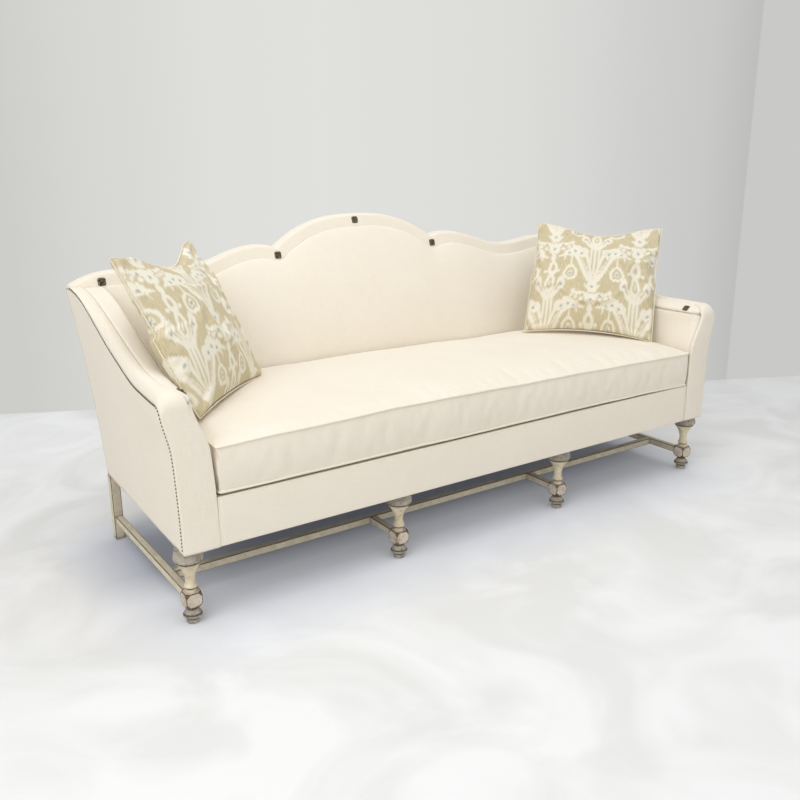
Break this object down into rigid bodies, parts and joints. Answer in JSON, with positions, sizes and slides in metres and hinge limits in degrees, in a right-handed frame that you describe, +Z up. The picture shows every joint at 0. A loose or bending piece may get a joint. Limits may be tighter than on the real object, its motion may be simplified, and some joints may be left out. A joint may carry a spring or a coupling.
{
  "type": "camelback sofa",
  "caption": "Upholstered sofa with a scalloped back, swept arms, one long seat cushion, loose pillows and turned legs joined by stretchers, for seating several people",
  "frame": {"origin": "on the floor under the middle of the bounding box", "axes": "+X along the sofa to its own left-hand side as seen from behind, the front faces -Y, +Z up"},
  "size_m": [2.2297, 0.9143, 1.026],
  "materials": {
    "cover_fabric": "cream linen weave upholstery",
    "pillow_fabric": "khaki cotton with an off-white resist-dyed pattern",
    "deck_fabric": "padded decking cloth",
    "dust_fabric": "black non-woven dust cloth",
    "frame_wood": "planed unfinished hardwood",
    "painted_wood": "antique cream paint with a grey-brown glaze, rubbed through",
    "spring_steel": "oil-tempered wire",
    "aged_bronze": "dark aged bronze"
  },
  "bodies": {
    "frame": {"front_leg_1": "painted_wood", "front_leg_2": "painted_wood", "front_leg_3": "painted_wood", "front_leg_4": "painted_wood", "rear_leg_1": "painted_wood", "rear_leg_2": "painted_wood", "rear_leg_3": "painted_wood", "rear_leg_4": "painted_wood", "side_stretcher_left": "painted_wood", "side_stretcher_right": "painted_wood", "medial_stretcher": "painted_wood", "short_stretcher_left": "painted_wood", "short_stretcher_right": "painted_wood", "front_rail": "frame_wood", "back_rail": "frame_wood", "side_rail_left": "frame_wood", "side_rail_right": "frame_wood", "cross_rail_left": "frame_wood", "cross_rail_right": "frame_wood", "corner_block_left": "frame_wood", "corner_block_right": "frame_wood", "arm_post_left": "frame_wood", "arm_post_right": "frame_wood", "arm_rail_left": "frame_wood", "arm_rail_right": "frame_wood", "back_post_left": "frame_wood", "back_post_right": "frame_wood", "back_upright_left": "frame_wood", "back_upright_right": "frame_wood", "back_tack_rail": "frame_wood", "crest_rail": "frame_wood", "sinuous_spring_1": "spring_steel", "sinuous_spring_2": "spring_steel", "sinuous_spring_3": "spring_steel", "sinuous_spring_4": "spring_steel", "sinuous_spring_5": "spring_steel", "front_border": "cover_fabric", "outside_back": "cover_fabric", "back_border_band": "cover_fabric", "inside_back_pad": "cover_fabric", "outside_arm_left": "cover_fabric", "outside_arm_right": "cover_fabric", "arm_strip_left": "cover_fabric", "arm_strip_right": "cover_fabric", "arm_band_left": "cover_fabric", "arm_band_right": "cover_fabric", "inside_arm_pad_left": "cover_fabric", "inside_arm_pad_right": "cover_fabric", "rosette_centre": "aged_bronze", "rosette_notch_left": "aged_bronze", "rosette_notch_right": "aged_bronze", "rosette_corner_left": "aged_bronze", "rosette_corner_right": "aged_bronze", "rosette_arm_left": "aged_bronze", "rosette_arm_right": "aged_bronze", "seat_deck": "deck_fabric", "dust_cover": "dust_fabric"},
    "cushion": {"seat_cushion": "cover_fabric"},
    "pillow_left_body": {"pillow_left": "pillow_fabric"},
    "pillow_right_body": {"pillow_right": "pillow_fabric"}
  },
  "joints": [
    {"name": "cushion_lift", "type": "slide", "parent": "frame", "child": "cushion", "axis": [0, 0, 1], "range_m": [0, 0.4]},
    {"name": "pillow_left_lift", "type": "slide", "parent": "cushion", "child": "pillow_left_body", "axis": [0.5, -0.4, 0.7681], "range_m": [0, 0.45]},
    {"name": "pillow_right_lift", "type": "slide", "parent": "cushion", "child": "pillow_right_body", "axis": [-0.5, -0.4, 0.7681], "range_m": [0, 0.45]}
  ]
}
